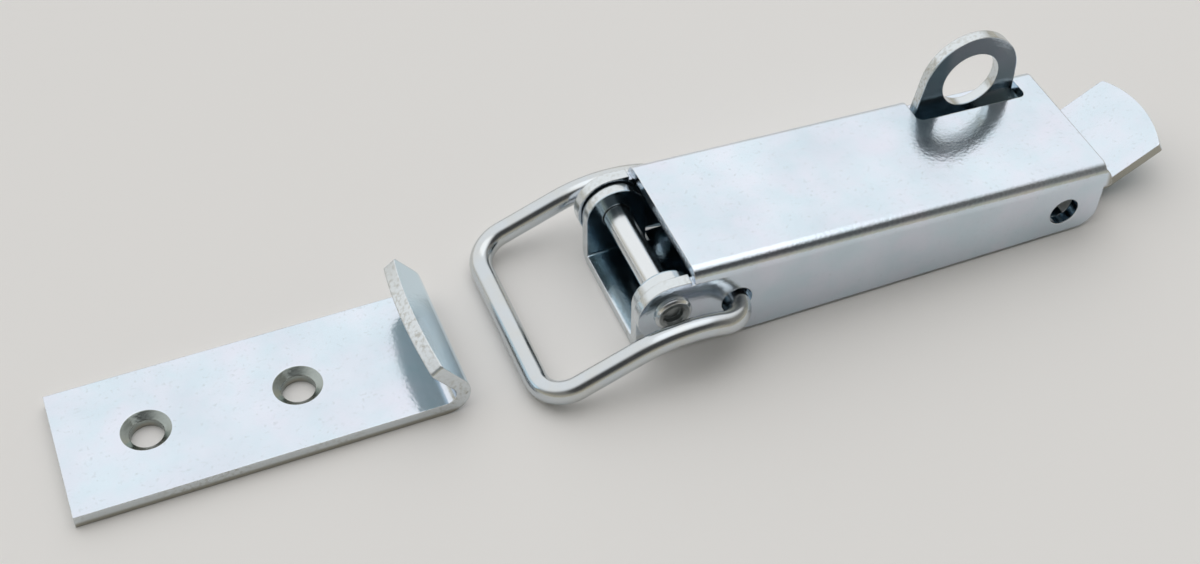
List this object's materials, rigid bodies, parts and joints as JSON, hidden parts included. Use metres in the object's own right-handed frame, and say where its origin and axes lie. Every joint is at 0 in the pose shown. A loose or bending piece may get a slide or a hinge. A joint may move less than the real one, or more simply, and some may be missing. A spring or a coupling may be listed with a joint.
{
  "type": "over centre toggle latch",
  "caption": "Over centre toggle latch: folded steel lever on a folded base with padlock eye, wire bail and hooked strike plate, zinc plated.",
  "frame": {"origin": "on the panel that the base is screwed to, straight under the lever's pivot and on the latch's middle line", "axes": "+X from the pivot to the lever's tongue, +Y to the side with the padlock eye, +Z off the panel"},
  "size_m": [0.2495, 0.0522, 0.0351],
  "materials": {
    "base_steel": "bright zinc plate on mild steel sheet",
    "lever_steel": "bright zinc plate on mild steel sheet",
    "rivet_steel": "bright zinc plate on a semi-tubular steel rivet",
    "wire_steel": "bright zinc plate on drawn steel wire",
    "strike_steel": "bright zinc plate on mild steel sheet"
  },
  "bodies": {
    "base": {"base_plate": "base_steel", "strike_plate": "strike_steel"},
    "lever": {"lever": "lever_steel", "pivot_rivet": "rivet_steel"},
    "bail": {"bail": "wire_steel"}
  },
  "joints": [
    {"name": "lever_swing", "type": "hinge", "parent": "base", "child": "lever", "pos_m": [0, 0, 0.0124], "axis": [0, -1, 0], "range_deg": [0, 150]},
    {"name": "bail_swing", "type": "hinge", "parent": "lever", "child": "bail", "pos_m": [0.0146, 0, 0.0103], "axis": [0, 1, 0], "range_deg": [0, 165]}
  ],
  "couplings": [
    {"joint": "bail_swing", "follows": "lever_swing", "ratio": 1.1}
  ]
}
